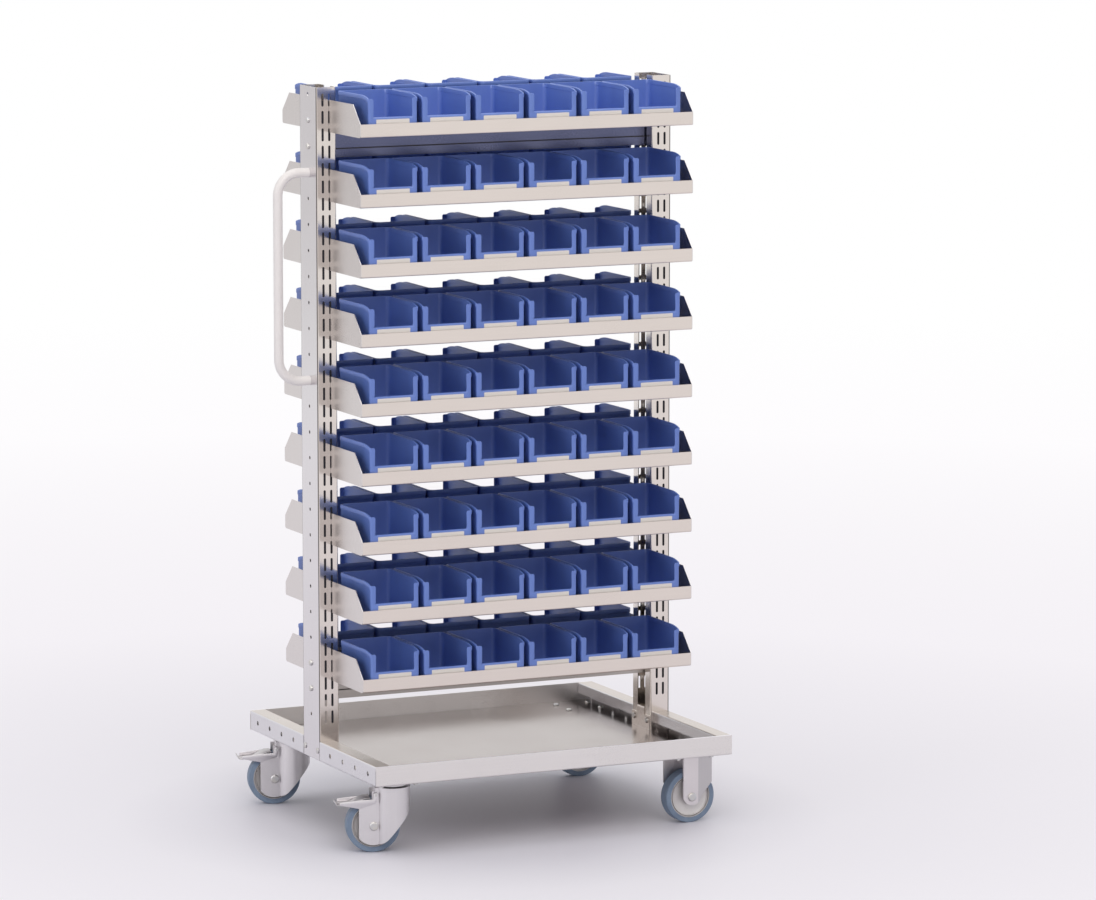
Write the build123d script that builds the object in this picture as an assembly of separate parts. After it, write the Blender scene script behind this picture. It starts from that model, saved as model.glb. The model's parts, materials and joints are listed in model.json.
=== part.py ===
import math
import os

from build123d import *

os.makedirs("parts", exist_ok=True)

# Millimetres. X runs along the trolley with the handle at -X, Y runs across it with the front at -Y, and Z is
# up from the floor. Everything is laid out about the middle of the base, and write() adds CENTRE_SHIFT.

# Base tray
LENGTH = 908.0
DEPTH = 764.0
RIM_BOTTOM = 168.0
RIM_TOP = 215.0
SHEET = 2.0
BEND = 3.5
RAIL_FLANGE = 140.0
HEM_HEIGHT = 10.0
BEAM_FLANGE = 39.0
BEAM_LIP = 26.0
END_HOLE_RADIUS = 5.5
END_HOLE_PITCH = 74.0
END_HOLE_COUNT = 10
PAN_THICKNESS = 1.5

# Slotted uprights
UPRIGHT_DEPTH = 97.0
UPRIGHT_FLANGE = 50.0
UPRIGHT_LIP = 28.0
UPRIGHT_TOP = 1741.0
SLOT_WIDTH = 5.6
SLOT_LENGTH = 30.0
SLOT_PITCH = 40.0
SLOT_COUNT = 37
SLOT_BOTTOM = 256.7
SLOT_COLUMNS = (16.5, 33.0)
WEB_HOLE_RADIUS = 4.0
WEB_HOLE_PITCH = 60.4
WEB_HOLE_COUNT = 25
WEB_HOLE_TOP = 1723.0

# Foot plates inside the uprights
FOOT_SHOULDER = 34.0
FOOT_TONGUE = 52.0
FOOT_TONGUE_WIDTH = 38.0
FOOT_TURN = 12.0
FOOT_BOLT_OFFSET = 34.0
FOOT_BOLT_HEIGHT = 194.0

# Cross panels between the uprights, each held by two web holes at either end
PANEL_HEIGHT = 115.0
PANEL_DEPTH = 28.0
PANEL_GROOVE = 20.5
PANEL_GROOVE_WIDTH = 3.0
PANEL_GROOVE_DEPTH = 1.1
TOP_PANEL_HOLES = (1, 2)
BOTTOM_PANEL_HOLES = (22, 23)

# Push handle
HANDLE_RADIUS = 11.0
HANDLE_WALL = 2.0
HANDLE_REACH = 76.0
HANDLE_BEND = 52.0
HANDLE_PLUG = 20.0
HANDLE_SCREW = 16.0
HANDLE_HOLES = (3, 11)

# Shelves
SHELF_SHEET = 1.5
SHELF_BOTTOM = 357.5
SHELF_PITCH = 160.0
SHELF_ROWS = 9
SHELF_FRONT = 231.3
SHELF_BACK = 49.5
SHELF_LIP = 31.0
SHELF_BACK_LIP = 24.0
CHEEK_OUTSIDE = 421.7
CHEEK_HEIGHT = 74.2
CHEEK_CHAMFER = 42.0
HOOKS = ((19.5, 45.0), (60.5, 72.5))
HOOK_REACH = 11.0
HOOK_DROP = 4.0

# Bins
BINS_PER_ROW = 6
BIN_PITCH = 134.0
BIN_ROW_OFFSET = -4.0
BIN_FRONT_WIDTH = 121.5
BIN_BACK_WIDTH = 128.5
BIN_FRONT = 227.5
BIN_BACK = 53.0
BIN_HEIGHT = 93.5
BIN_PILLAR_HEIGHT = 86.0
BIN_PILLAR_WIDTH = 13.0
BIN_FRONT_WALL = 44.0
BIN_WALL = 2.2
BIN_CORNER = 4.0
BIN_SHOULDER = 42.0
BIN_FOOT_GAP = 0.3
LABEL_WIDTH = 83.0
LABEL_TOP = 39.4
LABEL_HEIGHT = 32.0
LABEL_RECESS = 0.7

# Casters
WHEEL_RADIUS = 62.5
WHEEL_WIDTH = 32.0
TYRE_INSIDE = 50.5
TYRE_FACE = 58.5
TREAD_WIDTH = 26.0
CORE_WIDTH = 29.0
CORE_DISH = 5.0
CORE_RIM = 7.0
HUB_RADIUS = 15.0
HUB_WIDTH = 39.0
BUSH_RADIUS = 9.0
AXLE_RADIUS = 6.0
AXLE_HEAD_RADIUS = 10.6
AXLE_HEAD_HEIGHT = 4.5
AXLE_HEAD_ROUND = 3.5
AXLE_NUT_RADIUS = 10.5
AXLE_NUT_HEIGHT = 8.0
RUNNING_CLEARANCE = 0.05
PRESS_GAP = 0.02
PLATE_LENGTH = 110.0
PLATE_WIDTH = 94.0
PLATE_THICKNESS = 4.0
PLATE_CORNER = 8.0
PLATE_BOLTS = (86.0, 74.0)
FIXED_PLACE = (378.5, 300.0)
SWIVEL_PLACE = (-379.5, 299.0)
SWIVEL_REST = 15.0
TRAIL = 45.5
FORK_RADIUS = 42.0
FORK_HALF_WIDTH = 24.5
FORK_SHEET = 3.0
FORK_BEND = 4.5
FORK_TOP = 152.0
FORK_END = 80.0
FORK_REAR_EDGE = 105.0
FORK_REAR_SHOULDER = 124.0
FORK_FOOT_RADIUS = 44.2
FORK_FLANK_ANGLE = 50.0
FORK_CORNER = 6.0
CROWN_BOTTOM = 128.0
KING_PIN_RADIUS = 6.0
KING_PIN_HEAD_RADIUS = 11.0
KING_PIN_HEAD_HEIGHT = 6.0
CUP_RADIUS = 35.0
CUP_BOTTOM = 155.0
LEG_REAR = 22.0
LEG_CREASE = 25.3
LEG_WING = 29.0
LEG_TURN = 4.7
LEG_BELOW_AXLE = 20.0
LEG_HEEL = 1.0
LEG_WING_FOOT = 32.0
PEDAL_HALF_WIDTH = 27.5
PEDAL_SHEET = 2.0
PEDAL_BEND = 3.5
PEDAL_FLOOR = 113.5
PEDAL_PIVOT = (-41.0, 135.0)
PEDAL_PIN_RADIUS = 3.0
PEDAL_START = 94.0
PEDAL_CHEEK_END = 124.5
PEDAL_CHEEK_RIM = (118.0, 122.0)
PEDAL_CHEEK_KEEL = (104.5, 116.0)
PEDAL_TIP = 132.5
PEDAL_CURL = 6.0
PEDAL_CURL_RISE = 4.5
PEDAL_EYE = 6.0
PEDAL_EAR = 9.0

# Bolts
BOLT_RADIUS = 3.8
BOLT_HEAD_RADIUS = 7.0
BOLT_HEAD_HEIGHT = 4.2
BOLT_HEAD_ROUND = 2.9
BOLT_TAIL = 2.0
BOLT_HOLE = 4.1
NUT_RADIUS = 7.2
NUT_HEIGHT = 6.0
CASTER_BOLT_HOLE = 4.3

# Room left between pieces, and how far a cut runs past the surface that it opens
GAP = 0.5
PAST = 1.0

HALF_LENGTH = LENGTH / 2
HALF_DEPTH = DEPTH / 2
HALF_UPRIGHT = UPRIGHT_DEPTH / 2
FLOOR_TOP = RIM_BOTTOM + SHEET + PAN_THICKNESS
PLATE_BOTTOM = RIM_BOTTOM - PLATE_THICKNESS
HANDLE_AXIS = HALF_LENGTH + HANDLE_REACH
CENTRE_SHIFT = (HANDLE_AXIS + HANDLE_RADIUS - HALF_LENGTH - BOLT_HEAD_HEIGHT) / 2


def block(x, y, z):
    """A box between the given low and high values on each axis."""
    size = (x[1] - x[0], y[1] - y[0], z[1] - z[0])
    middle = ((x[0] + x[1]) / 2, (y[0] + y[1]) / 2, (z[0] + z[1]) / 2)
    return Pos(*middle) * Box(*size)


def rod(radius, start, end):
    """A round bar between two points."""
    start, end = Vector(*start), Vector(*end)
    plane = Plane(origin=start, z_dir=end - start)
    return extrude(plane * Circle(radius), (end - start).length)


def hexagon(radius, start, end):
    """A hexagonal bar between two points."""
    start, end = Vector(*start), Vector(*end)
    plane = Plane(origin=start, z_dir=end - start)
    return extrude(plane * RegularPolygon(radius, 6), (end - start).length)


def offset_points(points, distance):
    """The corners of an open outline moved to its left by a distance."""
    moved = []
    for index, point in enumerate(points):
        before = points[max(index - 1, 0)]
        after = points[min(index + 1, len(points) - 1)]
        normals = []
        for a, b in ((before, point), (point, after)):
            run = math.hypot(b[0] - a[0], b[1] - a[1])
            if run > 0:
                normals.append((-(b[1] - a[1]) / run, (b[0] - a[0]) / run))
        first, last = normals[0], normals[-1]
        scale = distance / (1 + first[0] * last[0] + first[1] * last[1])
        moved.append(tuple(point[axis] + (first[axis] + last[axis]) * scale for axis in (0, 1)))
    return moved


def bent_sheet(points, thickness, bend):
    """The section of a folded sheet: an outside outline with the sheet on its left, and round bends."""
    outside = FilletPolyline(*points, radius=bend)
    inside = FilletPolyline(*offset_points(points, thickness), radius=bend - thickness)
    return make_face([outside, Line(outside @ 1, inside @ 1), inside, Line(inside @ 0, outside @ 0)])


def along_x(section, low, high):
    """A section drawn in Y and Z, drawn out along X."""
    return extrude(Plane(origin=(low, 0, 0), x_dir=(0, 1, 0), z_dir=(1, 0, 0)) * section, high - low)


def along_y(section, low, high):
    """A section drawn in X and Z, drawn out along Y."""
    return extrude(Plane(origin=(0, high, 0), x_dir=(1, 0, 0), z_dir=(0, -1, 0)) * section, high - low)


def turned(shape):
    """The same piece on the other side or end of the trolley."""
    return Rot(0, 0, 180) * shape


def write(name, *shapes):
    """Writes the solids of one piece, moved so that the whole trolley is centred on the origin."""
    solids = [solid for shape in shapes for solid in shape.solids()]
    placed = [Pos(CENTRE_SHIFT, 0, 0) * solid for solid in solids]
    export_step(placed[0] if len(placed) == 1 else Compound(children=placed), f"parts/{name}.step")


def web_hole_height(index):
    return WEB_HOLE_TOP - WEB_HOLE_PITCH * index


def caster_bolt_places():
    """The bolt places of the four caster plates, seen from above."""
    half_x, half_y = PLATE_BOLTS[0] / 2, PLATE_BOLTS[1] / 2
    places = []
    for x, y in (FIXED_PLACE, SWIVEL_PLACE):
        for side in (-1, 1):
            places += [(x + i * half_x, side * y + j * half_y) for i in (-1, 1) for j in (-1, 1)]
    return places


def caster_bolt_holes():
    low, high = PLATE_BOTTOM - PAST, FLOOR_TOP + PAST
    return [rod(CASTER_BOLT_HOLE, (x, y, low), (x, y, high)) for x, y in caster_bolt_places()]


# Front rail: a web with a rolled hem along its top edge and a wide flange under the floor pan.
def front_rail():
    outside, floor_edge = -HALF_DEPTH, -HALF_DEPTH + RAIL_FLANGE
    outline = [(outside, RIM_TOP), (outside, RIM_BOTTOM), (floor_edge, RIM_BOTTOM)]
    rail = along_x(bent_sheet(outline, SHEET, BEND), -HALF_LENGTH, HALF_LENGTH)
    hem = (outside + SHEET, outside + 2 * SHEET)
    rail += block((-HALF_LENGTH, HALF_LENGTH), hem, (RIM_TOP - HEM_HEIGHT, RIM_TOP))
    # Room for the ends of the end beams on the flange.
    for side in (-1, 1):
        corner = sorted((side * HALF_LENGTH, side * (HALF_LENGTH - SHEET - BEND)))
        reach = (outside + SHEET, floor_edge)
        rail -= block(corner, reach, (RIM_BOTTOM - PAST, RIM_BOTTOM + BEND))
    return rail - caster_bolt_holes()


# Left end beam: a channel with a turned-in lip, notched in the middle for the upright.
def left_end_beam():
    outside, inside = -HALF_LENGTH, -HALF_LENGTH + BEAM_FLANGE
    lip = [(inside, RIM_TOP - BEAM_LIP), (inside, RIM_TOP)]
    outline = lip + [(outside, RIM_TOP), (outside, RIM_BOTTOM), (inside, RIM_BOTTOM)]
    beam_end = HALF_DEPTH - 2 * SHEET
    beam = along_y(bent_sheet(outline, SHEET, BEND), -beam_end, beam_end)
    flange_end = HALF_DEPTH - RAIL_FLANGE - GAP
    for side in (-1, 1):
        reach = sorted((side * flange_end, side * HALF_DEPTH))
        beam -= block((outside + SHEET, inside + PAST), reach, (RIM_BOTTOM - PAST, RIM_BOTTOM + BEND))
    notch = HALF_UPRIGHT + GAP / 2
    beam -= block((outside - PAST, inside + PAST), (-notch, notch), (RIM_BOTTOM + SHEET, RIM_TOP + PAST))
    return beam - end_holes(outside)


def end_holes(x):
    """The row of round holes in an end of the tray, two of which fall in the upright."""
    first = -END_HOLE_PITCH * (END_HOLE_COUNT - 1) / 2
    middle = (RIM_BOTTOM + RIM_TOP) / 2
    rows = [first + END_HOLE_PITCH * index for index in range(END_HOLE_COUNT)]
    return [rod(END_HOLE_RADIUS, (x - BEND, y, middle), (x + BEND, y, middle)) for y in rows]


def floor_pan():
    side, end = HALF_DEPTH - BEND - GAP, HALF_LENGTH - BEND - GAP
    pan = block((-end, end), (-side, side), (FLOOR_TOP - PAN_THICKNESS, FLOOR_TOP))
    notch, half_notch = HALF_LENGTH - UPRIGHT_FLANGE - SHEET - GAP, HALF_UPRIGHT + GAP
    for way in (-1, 1):
        reach = sorted((way * notch, way * HALF_LENGTH))
        pan -= block(reach, (-half_notch, half_notch), (RIM_BOTTOM, FLOOR_TOP + PAST))
    return pan - caster_bolt_holes()


# Left upright: a lipped channel, open towards the middle, with two columns of slots in both flanges.
def left_upright():
    outside, inside = -HALF_LENGTH, -HALF_LENGTH + UPRIGHT_FLANGE
    opening = HALF_UPRIGHT - UPRIGHT_LIP
    half = [(inside, opening), (inside, HALF_UPRIGHT), (outside, HALF_UPRIGHT)]
    outline = half + [(x, -y) for x, y in reversed(half)]
    foot = RIM_BOTTOM + SHEET
    upright = extrude(Pos(0, 0, foot) * bent_sheet(outline, SHEET, BEND), UPRIGHT_TOP - foot)
    column_height = SLOT_BOTTOM + SLOT_LENGTH / 2 + SLOT_PITCH * (SLOT_COUNT - 1) / 2
    slot_plane = Plane(origin=(0, UPRIGHT_DEPTH, column_height), x_dir=(1, 0, 0), z_dir=(0, -1, 0))
    slots = Sketch()
    for column in SLOT_COLUMNS:
        places = Pos(outside + column, 0) * GridLocations(1, SLOT_PITCH, 1, SLOT_COUNT)
        slots += places * SlotOverall(SLOT_LENGTH, SLOT_WIDTH, rotation=90)
    upright -= extrude(slot_plane * slots, 2 * UPRIGHT_DEPTH)
    heights = [web_hole_height(index) for index in range(WEB_HOLE_COUNT)]
    upright -= [rod(WEB_HOLE_RADIUS, (outside - PAST, 0, z), (outside + BEND, 0, z)) for z in heights]
    return upright - foot_bolt_holes(inside) - end_holes(outside)


def foot_bolt_holes(x):
    places = [(y, FOOT_BOLT_HEIGHT) for y in (-FOOT_BOLT_OFFSET, FOOT_BOLT_OFFSET)]
    return [rod(BOLT_HOLE, (x - BEND, y, z), (x + BEND, y, z)) for y, z in places]


# Left foot plate: stands on the floor pan against the upright's lips, with a tongue turned into the channel.
def left_foot():
    back = -HALF_LENGTH + UPRIGHT_FLANGE
    top = FLOOR_TOP + FOOT_TONGUE
    outline = [(back + SHEET, FLOOR_TOP), (back + SHEET, top), (back - FOOT_TURN, top)]
    tongue = bent_sheet(outline, SHEET, BEND)
    plate = along_y(tongue, -FOOT_TONGUE_WIDTH / 2, FOOT_TONGUE_WIDTH / 2)
    wide = HALF_UPRIGHT - GAP
    plate += block((back, back + SHEET), (-wide, wide), (FLOOR_TOP, FLOOR_TOP + FOOT_SHOULDER))
    return plate - foot_bolt_holes(back)


def left_foot_bolts():
    face = -HALF_LENGTH + UPRIGHT_FLANGE
    spots = [(y, FOOT_BOLT_HEIGHT) for y in (-FOOT_BOLT_OFFSET, FOOT_BOLT_OFFSET)]
    return [bolt((face + SHEET, y, z), (-1, 0, 0), 2 * SHEET) for y, z in spots]


def bolt(head_place, direction, grip):
    """A round-headed bolt whose head sits on a face, with its nut on the far side of the grip."""
    place, way = Vector(*head_place), Vector(*direction)
    top = place - way * BOLT_HEAD_HEIGHT
    head = rod(BOLT_HEAD_RADIUS, top, place)
    rims = head.edges().filter_by(GeomType.CIRCLE)
    head = fillet(min(rims, key=lambda rim: (rim.arc_center - top).length), BOLT_HEAD_ROUND)
    nut = hexagon(NUT_RADIUS, place + way * grip, place + way * (grip + NUT_HEIGHT))
    return head + rod(BOLT_RADIUS, place, place + way * (grip + NUT_HEIGHT + BOLT_TAIL)) + nut


# Cross panel: a shallow pan, open at the rear, with a pressed groove near its top and bottom edges.
def cross_panel(holes):
    heights = [web_hole_height(index) for index in holes]
    middle, end = sum(heights) / len(heights), HALF_LENGTH - SHEET
    low, high = middle - PANEL_HEIGHT / 2, middle + PANEL_HEIGHT / 2
    half = PANEL_DEPTH / 2
    panel = block((-end, end), (-half, half), (low, high))
    panel -= block((-end + SHEET, end - SHEET), (-half + SHEET, half + PAST), (low + SHEET, high - SHEET))
    for z in (low + PANEL_GROOVE, high - PANEL_GROOVE):
        groove = (z - PANEL_GROOVE_WIDTH / 2, z + PANEL_GROOVE_WIDTH / 2)
        panel -= block((-end - PAST, end + PAST), (-half - PAST, -half + PANEL_GROOVE_DEPTH), groove)
    for z in heights:
        panel -= rod(BOLT_HOLE, (-end - PAST, 0, z), (end + PAST, 0, z))
    return panel


def panel_bolts():
    heights = [web_hole_height(index) for index in TOP_PANEL_HOLES + BOTTOM_PANEL_HOLES]
    bolts = []
    for side in (-1, 1):
        bolts += [bolt((side * HALF_LENGTH, 0, z), (-side, 0, 0), 2 * SHEET) for z in heights]
    return bolts


# Push handle: a bent tube with a plug in either end, bored for the screws that hold it to the upright.
def push_handle():
    handle = handle_bar(HANDLE_RADIUS, 0) - handle_bar(HANDLE_RADIUS - HANDLE_WALL, HANDLE_PLUG)
    for z in (web_hole_height(index) for index in HANDLE_HOLES):
        handle -= rod(BOLT_RADIUS, (-HALF_LENGTH + PAST, 0, z), (-HALF_LENGTH - HANDLE_PLUG - PAST, 0, z))
    return handle


def handle_bar(radius, start):
    """A round bar bent to the handle's loop, which starts and ends some way out from the upright."""
    top, bottom = (web_hole_height(index) for index in HANDLE_HOLES)
    end = -HALF_LENGTH - start
    corners = [(end, 0, top), (-HANDLE_AXIS, 0, top), (-HANDLE_AXIS, 0, bottom), (end, 0, bottom)]
    path = FilletPolyline(*corners, radius=HANDLE_BEND)
    return sweep(Plane(origin=path @ 0, z_dir=path % 0) * Circle(radius), path)


def handle_bolts():
    bolts = []
    for z in (web_hole_height(index) for index in HANDLE_HOLES):
        face = -HALF_LENGTH + SHEET
        shank = rod(BOLT_RADIUS - PRESS_GAP, (face, 0, z), (-HALF_LENGTH - HANDLE_SCREW, 0, z))
        bolts.append(shank + hexagon(NUT_RADIUS, (face, 0, z), (face + NUT_HEIGHT, 0, z)))
    return bolts


# Front shelf at one level: floor, lips and two cheeks, which hook into the inner slots of the uprights.
def front_shelf(level):
    low = SHELF_BOTTOM + SHELF_PITCH * level
    outline = [(-SHELF_FRONT, low + SHELF_LIP), (-SHELF_FRONT, low)]
    outline += [(-SHELF_BACK, low), (-SHELF_BACK, low + SHELF_BACK_LIP)]
    inside = CHEEK_OUTSIDE - SHELF_SHEET
    shelf = along_x(bent_sheet(outline, SHELF_SHEET, BEND), -inside, inside)
    for side in (-1, 1):
        shelf += cheek(side, low)
    return shelf


def cheek(side, low):
    high, behind = low + CHEEK_HEIGHT, -HALF_UPRIGHT - GAP
    front = [(-SHELF_FRONT, low + SHELF_LIP), (-SHELF_FRONT + CHEEK_CHAMFER, high), (behind, high)]
    back = [(behind, low), (-SHELF_FRONT + BEND, low), (-SHELF_FRONT, low + BEND)]
    plate = make_face(Polyline(*front, *back, close=True))
    for foot, head in HOOKS:
        tip, grip = behind + HOOK_REACH, behind + SHEET + PAST
        hook = [(behind, low + foot), (behind, low + head), (tip, low + head)]
        hook += [(tip, low + foot - HOOK_DROP), (grip, low + foot - HOOK_DROP), (grip, low + foot)]
        plate += make_face(Polyline(*hook, close=True))
    reach = sorted((side * CHEEK_OUTSIDE, side * (CHEEK_OUTSIDE - SHELF_SHEET)))
    return along_x(plate, *reach)


# One bin, with its foot at Z 0 and its middle at X 0: open at the top and above a low front wall.
def bin_outline():
    """The side view of a bin, whose top edge curves down to the front."""
    front, back, shoulder = -BIN_FRONT, -BIN_BACK, -BIN_FRONT + BIN_SHOULDER
    bend = TangentArc((shoulder, BIN_HEIGHT), (front, BIN_PILLAR_HEIGHT), tangent=(-1, 0))
    rest = [(front, BIN_PILLAR_HEIGHT), (front, 0), (back, 0), (back, BIN_HEIGHT), (shoulder, BIN_HEIGHT)]
    return make_face([bend, Polyline(*rest)])


def bin_plan(inset):
    """The plan of a bin, which narrows to the front, with its walls moved in by some distance."""
    front, back = BIN_FRONT_WIDTH / 2 - inset, BIN_BACK_WIDTH / 2 - inset
    near, far = -BIN_FRONT + inset, -BIN_BACK - inset
    return make_face(Polyline((-front, near), (front, near), (back, far), (-back, far), close=True))


def open_bin():
    body = extrude(bin_plan(0), BIN_HEIGHT) & along_x(bin_outline(), -BIN_BACK_WIDTH, BIN_BACK_WIDTH)
    body = fillet(body.edges().filter_by(Axis.Z).group_by(Axis.Y)[0], BIN_CORNER)
    body -= extrude(Pos(0, 0, BIN_WALL) * bin_plan(BIN_WALL), BIN_HEIGHT)
    gap = BIN_FRONT_WIDTH / 2 - BIN_PILLAR_WIDTH
    front_wall = (-BIN_FRONT - PAST, -BIN_FRONT + BIN_WALL + PAST)
    body -= block((-gap, gap), front_wall, (BIN_FRONT_WALL, BIN_HEIGHT + PAST))
    label, recess = (LABEL_TOP - LABEL_HEIGHT, LABEL_TOP), (-BIN_FRONT - PAST, -BIN_FRONT + LABEL_RECESS)
    return body - block((-LABEL_WIDTH / 2, LABEL_WIDTH / 2), recess, label)


def bin_places(level):
    """Where the bins of one front shelf stand."""
    floor = SHELF_BOTTOM + SHELF_PITCH * level + SHELF_SHEET + BIN_FOOT_GAP
    first = BIN_ROW_OFFSET - BIN_PITCH * (BINS_PER_ROW - 1) / 2
    return [Pos(first + BIN_PITCH * index, 0, floor) for index in range(BINS_PER_ROW)]


# Wheel, built about its own centre with the axle along Y.
def wheel_core():
    half, hub, dish = CORE_WIDTH / 2, HUB_WIDTH / 2, CORE_WIDTH / 2 - CORE_DISH
    rim = TYRE_INSIDE - PRESS_GAP
    side = [(BUSH_RADIUS, -hub), (HUB_RADIUS, -hub), (HUB_RADIUS + CORE_DISH / 2, -dish)]
    side += [(rim - CORE_RIM, -dish), (rim - CORE_RIM / 2, -half), (rim, -half)]
    section = Polyline(*side, *[(r, -y) for r, y in reversed(side)], close=True)
    return revolve(Plane.XY * make_face(section), Axis.Y)


def wheel_tyre():
    half, tread = WHEEL_WIDTH / 2, TREAD_WIDTH / 2
    edges = [
        Line((WHEEL_RADIUS, -tread), (WHEEL_RADIUS, tread)),
        TangentArc((WHEEL_RADIUS, tread), (TYRE_FACE, half), tangent=(0, 1)),
        Polyline((TYRE_FACE, half), (TYRE_INSIDE, half), (TYRE_INSIDE, -half), (TYRE_FACE, -half)),
        TangentArc((WHEEL_RADIUS, -tread), (TYRE_FACE, -half), tangent=(0, -1)),
    ]
    return revolve(Plane.XY * make_face(edges), Axis.Y)


def wheel_bush():
    ring = Circle(BUSH_RADIUS - PRESS_GAP) - Circle(AXLE_RADIUS + RUNNING_CLEARANCE)
    return extrude(Plane.XZ * ring, HUB_WIDTH / 2, both=True)


def axle(half_width):
    """An axle bolt with a round head on the front side and a nut behind."""
    nut_face = half_width + AXLE_NUT_HEIGHT
    shank = rod(AXLE_RADIUS, (0, -half_width, 0), (0, nut_face + BOLT_TAIL, 0))
    head = rod(AXLE_HEAD_RADIUS, (0, -half_width - AXLE_HEAD_HEIGHT, 0), (0, -half_width, 0))
    head = fillet(head.edges().filter_by(GeomType.CIRCLE).sort_by(Axis.Y)[0], AXLE_HEAD_ROUND)
    return shank + head + hexagon(AXLE_NUT_RADIUS, (0, half_width, 0), (0, nut_face, 0))


def caster_plate():
    plate = RectangleRounded(PLATE_LENGTH, PLATE_WIDTH, PLATE_CORNER)
    plate -= GridLocations(*PLATE_BOLTS, 2, 2) * Circle(CASTER_BOLT_HOLE)
    return extrude(Pos(0, 0, PLATE_BOTTOM) * plate, PLATE_THICKNESS)


# Fixed caster, about the middle of its plate: each leg has a wing on one side and a return on the other.
def fixed_bracket():
    top = PLATE_BOTTOM + PLATE_THICKNESS / 2
    rear, crease, wide = -LEG_REAR, LEG_CREASE, LEG_CREASE + LEG_WING
    outside, turned_in = -FORK_HALF_WIDTH, -FORK_HALF_WIDTH + LEG_TURN
    plan = [(rear, turned_in), (rear, outside), (crease, outside), (wide, turned_in)]
    leg = extrude(bent_sheet(plan, FORK_SHEET, FORK_BEND), top)
    heel, wing_foot = WHEEL_RADIUS + LEG_HEEL, WHEEL_RADIUS + LEG_WING_FOOT
    outline = [
        Polyline((rear, heel), (rear, top), (wide, top), (wide, wing_foot), (crease, heel)),
        ThreePointArc((crease, heel), (0, WHEEL_RADIUS - LEG_BELOW_AXLE), (rear, heel)),
    ]
    leg &= along_y(make_face(outline), -PLATE_WIDTH, 0)
    leg -= rod(AXLE_RADIUS + PRESS_GAP, (0, -PLATE_WIDTH, WHEEL_RADIUS), (0, 0, WHEEL_RADIUS))
    return caster_plate() + leg + turned(leg)


# Swivel caster, about its swivel axis with the wheel trailing towards -X.
def swivel_head():
    head = caster_plate() + rod(CUP_RADIUS, (0, 0, CUP_BOTTOM), (0, 0, PLATE_BOTTOM))
    under = FORK_TOP - FORK_SHEET - GAP
    head += rod(KING_PIN_RADIUS, (0, 0, under), (0, 0, CUP_BOTTOM))
    return head + rod(KING_PIN_HEAD_RADIUS, (0, 0, under - KING_PIN_HEAD_HEIGHT), (0, 0, under))


def swivel_fork():
    plan = Circle(FORK_RADIUS) + Pos(-FORK_END / 2, 0) * Rectangle(FORK_END, 2 * FORK_HALF_WIDTH)
    fork = extrude(plan, FORK_TOP) & along_y(fork_outline(), -FORK_RADIUS, FORK_RADIUS)
    fork -= extrude(Circle(FORK_RADIUS - FORK_SHEET), FORK_TOP - FORK_SHEET)
    wheel_room = FORK_HALF_WIDTH - FORK_SHEET
    fork -= block((-FORK_END - PAST, 0), (-wheel_room, wheel_room), (0, CROWN_BOTTOM))
    king_pin_hole = KING_PIN_RADIUS + RUNNING_CLEARANCE
    fork -= rod(king_pin_hole, (0, 0, FORK_TOP - 2 * FORK_SHEET), (0, 0, FORK_TOP + PAST))
    fork += pedal_lugs()
    for radius, x, z in ((AXLE_RADIUS, -TRAIL, WHEEL_RADIUS), (PEDAL_PIN_RADIUS, *PEDAL_PIVOT)):
        fork -= rod(radius + PRESS_GAP, (x, -FORK_RADIUS, z), (x, FORK_RADIUS, z))
    return fork


def fork_outline():
    """The side view of the fork: a full round neck above, and plates that follow the rim of the wheel."""
    rim, foot, flank = FORK_RADIUS, FORK_FOOT_RADIUS, math.radians(FORK_FLANK_ANGLE)
    leave = (foot * math.sin(flank) - TRAIL, WHEEL_RADIUS - foot * math.cos(flank))
    neck_foot = (rim, leave[1] + (rim - leave[0]) * math.tan(flank))
    corner = (-FORK_END, WHEEL_RADIUS - math.sqrt(foot**2 - (FORK_END - TRAIL) ** 2))
    rear = [(-rim, FORK_REAR_SHOULDER), (-FORK_END, FORK_REAR_EDGE), corner]
    edges = [
        Polyline(leave, neck_foot, (rim, FORK_TOP), (-rim, FORK_TOP), *rear),
        ThreePointArc(corner, (-TRAIL, WHEEL_RADIUS - foot), leave),
    ]
    face = make_face(edges)
    rear_corners = face.vertices().group_by(Axis.X)[0]
    return fillet(rear_corners.sort_by(Axis.Y)[0], FORK_CORNER)


def pedal_lugs():
    """Two ears on the back of the neck that carry the pedal's pivot pin."""
    x, z = PEDAL_PIVOT
    outer, inner = FORK_HALF_WIDTH, FORK_HALF_WIDTH - FORK_SHEET
    low = FORK_REAR_SHOULDER - PEDAL_EAR
    ear = block((x - PEDAL_EAR, x + PEDAL_EAR), (inner, outer), (low, z + PEDAL_EAR))
    return ear + mirror(ear, Plane.XZ)


def swivel_axle():
    x, z = PEDAL_PIVOT
    reach = PEDAL_HALF_WIDTH + BOLT_TAIL
    pin = rod(PEDAL_PIN_RADIUS, (x, -reach, z), (x, reach, z))
    return [Pos(-TRAIL, 0, WHEEL_RADIUS) * axle(FORK_HALF_WIDTH), pin]


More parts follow.
